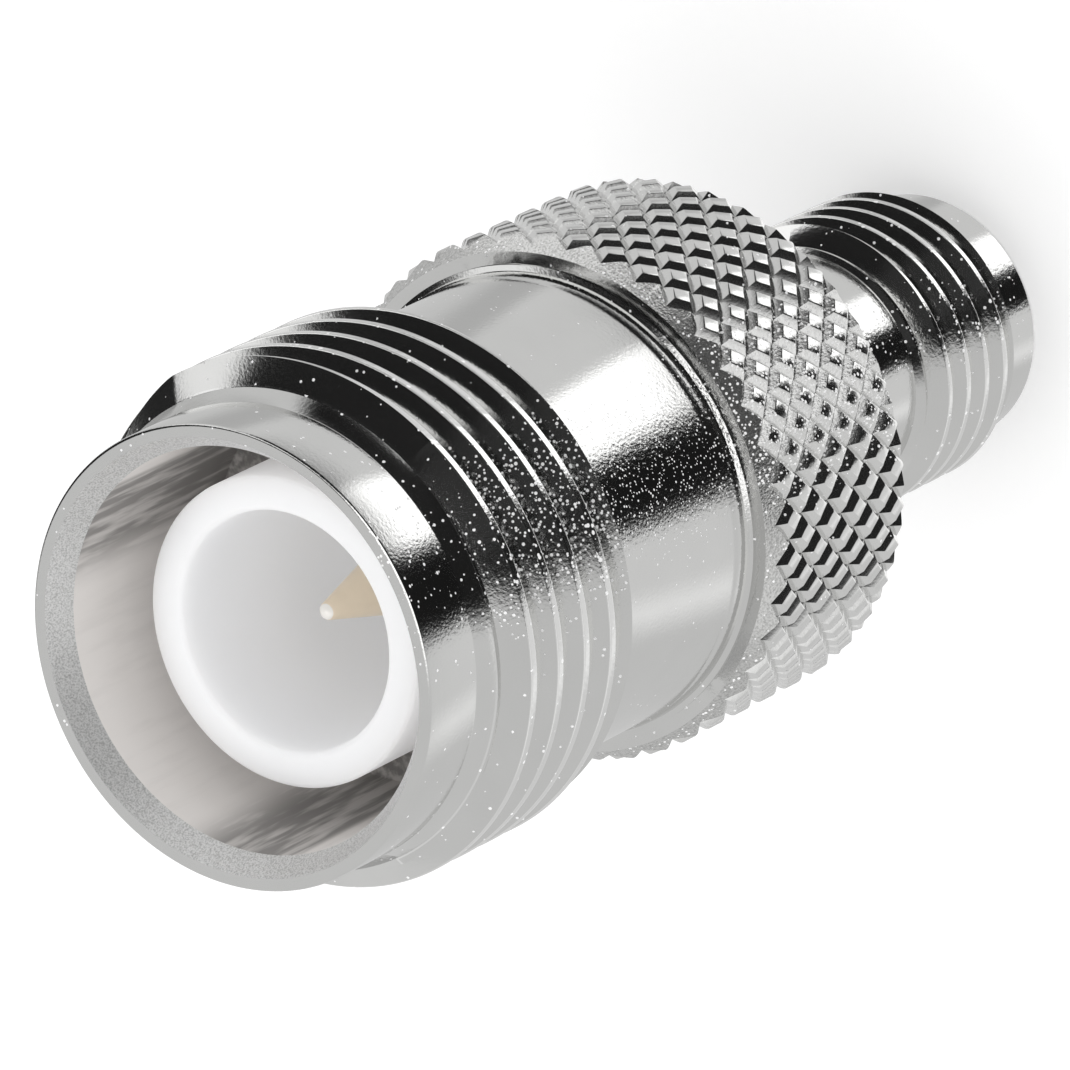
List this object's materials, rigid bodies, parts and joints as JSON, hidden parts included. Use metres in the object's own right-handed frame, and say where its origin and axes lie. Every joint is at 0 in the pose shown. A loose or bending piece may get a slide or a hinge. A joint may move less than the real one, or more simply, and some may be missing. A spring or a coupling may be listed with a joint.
{
  "type": "coax adapter",
  "caption": "Straight metal coax adapter with a large and a small threaded jack, a diamond-knurled grip collar between them and a gold pin in a white plastic cup.",
  "frame": {"origin": "centre of the rim of the small mating end, where the adapter stands on its end", "axes": "+Z along the adapter's axis, from the small end up to the open mouth of the large end"},
  "size_m": [0.011, 0.011, 0.0251],
  "materials": {
    "nickel_plate": "bright",
    "white_plastic": "satin",
    "gold_plate": "satin"
  },
  "bodies": {
    "root": {"front_shell": "nickel_plate", "rear_body": "nickel_plate", "front_insulator": "white_plastic", "rear_insulator": "white_plastic", "pin_contact": "gold_plate", "socket_contact": "gold_plate"}
  },
  "joints": []
}
